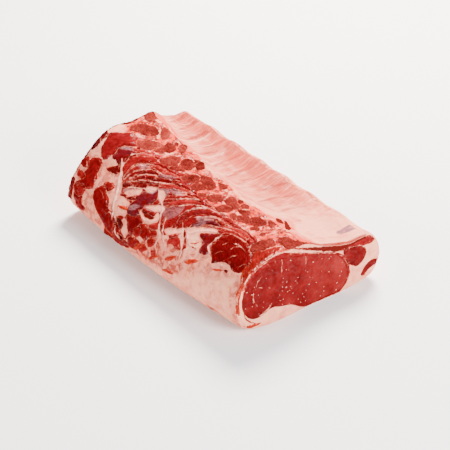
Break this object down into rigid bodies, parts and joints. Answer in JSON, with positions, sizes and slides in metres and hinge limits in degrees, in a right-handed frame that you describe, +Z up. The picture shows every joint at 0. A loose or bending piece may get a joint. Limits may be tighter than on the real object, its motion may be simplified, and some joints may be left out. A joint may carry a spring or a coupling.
{
  "type": "bone-in beef rib joint",
  "caption": "Uncut marbled beef rib joint on its fat cap, rib cage up: eye muscle shows at the cut end, sawn backbone along the top, membrane over the ribs.",
  "frame": {"origin": "middle of the footprint of the joint, on the surface that its fat cap lies on", "axes": "+Y from the eye-muscle cut to the far end, +X from the backbone side to the rib tips, +Z up"},
  "size_m": [0.2901, 0.43, 0.1306],
  "materials": {
    "fat": "soft satin fat, pale pink",
    "eye_meat": "moist marbled red meat",
    "chine_meat": "wet dark red meat with white sinew",
    "membrane": "smooth moist pink membrane",
    "bone": "sawn red spongy bone with cream rim"
  },
  "bodies": {
    "root": {"fat_cap": "fat", "eye_muscle": "eye_meat", "rib_muscle": "eye_meat", "edge_muscle": "eye_meat", "chine_side": "chine_meat", "rib_plate": "membrane", "chine_bone_1": "bone", "chine_bone_2": "bone", "chine_bone_3": "bone", "chine_bone_4": "bone", "chine_bone_5": "bone", "chine_bone_6": "bone", "chine_bone_7": "bone"}
  },
  "joints": []
}
